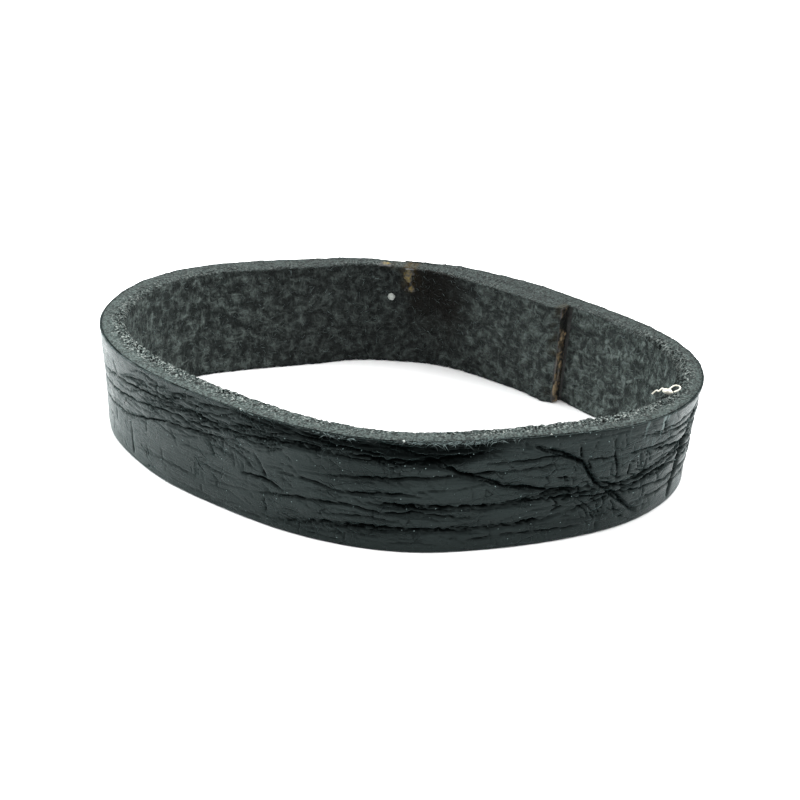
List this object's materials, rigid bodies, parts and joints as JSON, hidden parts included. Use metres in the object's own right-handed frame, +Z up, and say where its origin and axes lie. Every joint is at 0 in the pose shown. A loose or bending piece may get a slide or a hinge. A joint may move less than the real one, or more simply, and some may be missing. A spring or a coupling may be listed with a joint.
{
  "type": "saxophone ligature",
  "caption": "Plain black leather loop that holds a reed on a saxophone mouthpiece: one narrow coated strip glued to itself in a lap joint.",
  "frame": {"origin": "middle of the loop's box in plan, level with the cut edge it stands on", "axes": "+Z up, the way a mouthpiece passes through the loop; +X along the relaxed loop's long axis"},
  "size_m": [0.037, 0.026, 0.0068],
  "materials": {
    "raw_leather": "dyed fibrous cut edge and suede flesh face",
    "black_finish": "creased satin black finish film",
    "dried_cement": "amber dried contact cement"
  },
  "bodies": {
    "root": {"leather_strip": "raw_leather", "grain_coat": "black_finish", "lap_glue_line": "dried_cement", "end_glue_fillet": "dried_cement", "glue_run": "dried_cement", "glue_drop": "dried_cement"}
  },
  "joints": []
}
